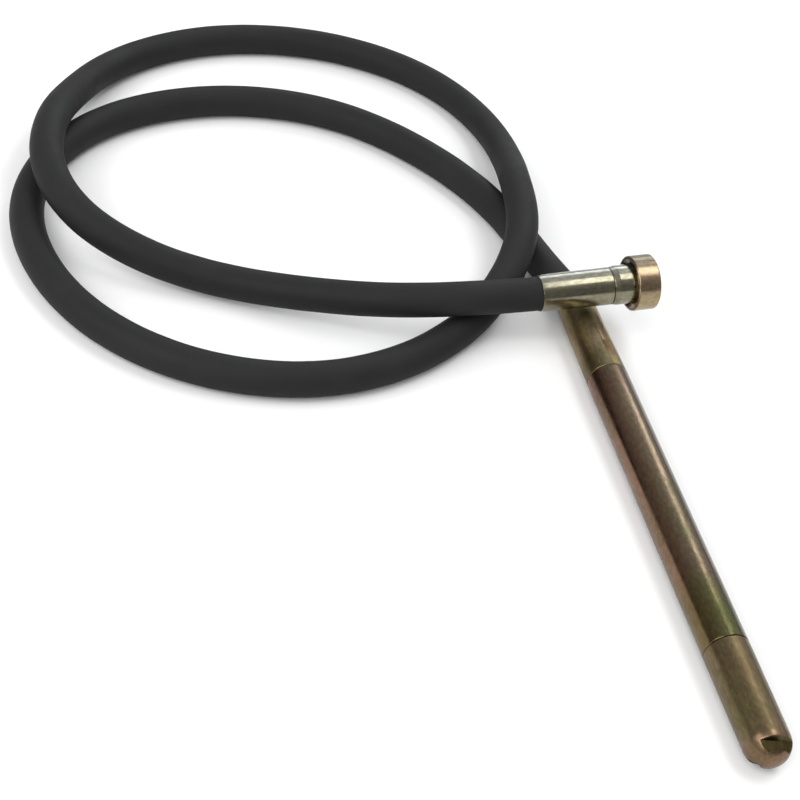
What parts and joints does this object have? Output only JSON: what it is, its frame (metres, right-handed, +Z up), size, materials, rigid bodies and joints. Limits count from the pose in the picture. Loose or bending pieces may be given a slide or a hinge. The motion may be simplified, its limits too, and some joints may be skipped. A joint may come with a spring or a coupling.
{
  "type": "concrete vibrator",
  "caption": "Needle concrete vibrator: steel head with an inner rolling pendulum, rubber hose with a flexible drive core, and a flanged drive coupling.",
  "frame": {"origin": "on the floor under the middle of the steel head", "axes": "+Y along the head from nose to hose, +Z up; the head lies on the floor and the hose loops lie on its -X side"},
  "size_m": [0.5537, 0.9634, 0.0848],
  "materials": {
    "hose_rubber": "matt black rubber with a faint sheen",
    "tip_zinc": "yellow zinc plate, golden brown, worn",
    "tube_zinc": "yellow zinc plate, brown to olive green, iridescent",
    "joint_zinc": "yellow zinc plate, olive gold",
    "ferrule_zinc": "pale zinc plate, glossy",
    "flange_zinc": "yellow zinc plate, warm gold",
    "bright_steel": "ground steel",
    "dark_steel": "oiled spring steel",
    "seal_rubber": "nitrile rubber",
    "bearing_cage": "brass cage with steel balls"
  },
  "bodies": {
    "casing": {"tip_cap": "tip_zinc", "raceway_sleeve": "bright_steel", "tube_casing": "tube_zinc", "upper_joint": "joint_zinc", "tip_o_ring": "seal_rubber", "joint_o_ring": "seal_rubber", "front_bearing_outer_race": "bright_steel", "rear_bearing_outer_race": "bright_steel", "outer_spacer": "bright_steel", "bearing_ring": "dark_steel", "shaft_seal": "seal_rubber", "hose_nipple": "bright_steel", "rubber_hose": "hose_rubber", "flexible_core": "dark_steel", "ferrule": "ferrule_zinc", "coupling_body": "ferrule_zinc", "coupling_flange": "flange_zinc", "flange_ring": "dark_steel", "spindle_bearing_outer_race": "bright_steel", "spindle_seal": "seal_rubber", "spindle_ring": "dark_steel"},
    "main_shaft": {"main_shaft": "bright_steel", "front_bearing_inner_race": "bright_steel", "rear_bearing_inner_race": "bright_steel", "inner_spacer": "bright_steel", "shaft_ring": "dark_steel", "core_adapter": "dark_steel"},
    "head_ball_cages": {"front_bearing_balls": "bearing_cage", "rear_bearing_balls": "bearing_cage"},
    "orbit_link": {"flexible_link": "dark_steel"},
    "pendulum": {"pendulum_rotor": "dark_steel"},
    "drive_spindle": {"drive_spindle": "bright_steel", "spindle_bearing_inner_race": "bright_steel", "core_end_sleeve": "bright_steel"},
    "spindle_ball_cage": {"spindle_bearing_balls": "bearing_cage"}
  },
  "joints": [
    {"name": "pendulum_orbit", "type": "hinge", "parent": "casing", "child": "orbit_link", "pos_m": [0, 0.085, 0.018], "axis": [0, 1, 0], "continuous": true},
    {"name": "pendulum_roll", "type": "hinge", "parent": "orbit_link", "child": "pendulum", "pos_m": [0, 0.085, 0.018], "axis": [0, 1, 0.0069], "continuous": true},
    {"name": "shaft_spin", "type": "hinge", "parent": "casing", "child": "main_shaft", "pos_m": [0, 0.12, 0.018], "axis": [0, 1, 0], "continuous": true},
    {"name": "head_cage_spin", "type": "hinge", "parent": "casing", "child": "head_ball_cages", "pos_m": [0, 0.12, 0.018], "axis": [0, 1, 0], "continuous": true},
    {"name": "spindle_spin", "type": "hinge", "parent": "casing", "child": "drive_spindle", "pos_m": [-0.0502, 0.2274, 0.0494], "axis": [0.9921, 0.0694, 0.1045], "continuous": true},
    {"name": "spindle_cage_spin", "type": "hinge", "parent": "casing", "child": "spindle_ball_cage", "pos_m": [-0.0502, 0.2274, 0.0494], "axis": [0.9921, 0.0694, 0.1045], "continuous": true}
  ],
  "couplings": [
    {"joint": "pendulum_roll", "follows": "pendulum_orbit", "ratio": -1.2245},
    {"joint": "shaft_spin", "follows": "pendulum_orbit", "ratio": -0.22449},
    {"joint": "head_cage_spin", "follows": "pendulum_orbit", "ratio": -0.084807},
    {"joint": "spindle_spin", "follows": "pendulum_orbit", "ratio": -0.22449},
    {"joint": "spindle_cage_spin", "follows": "pendulum_orbit", "ratio": -0.086803}
  ]
}
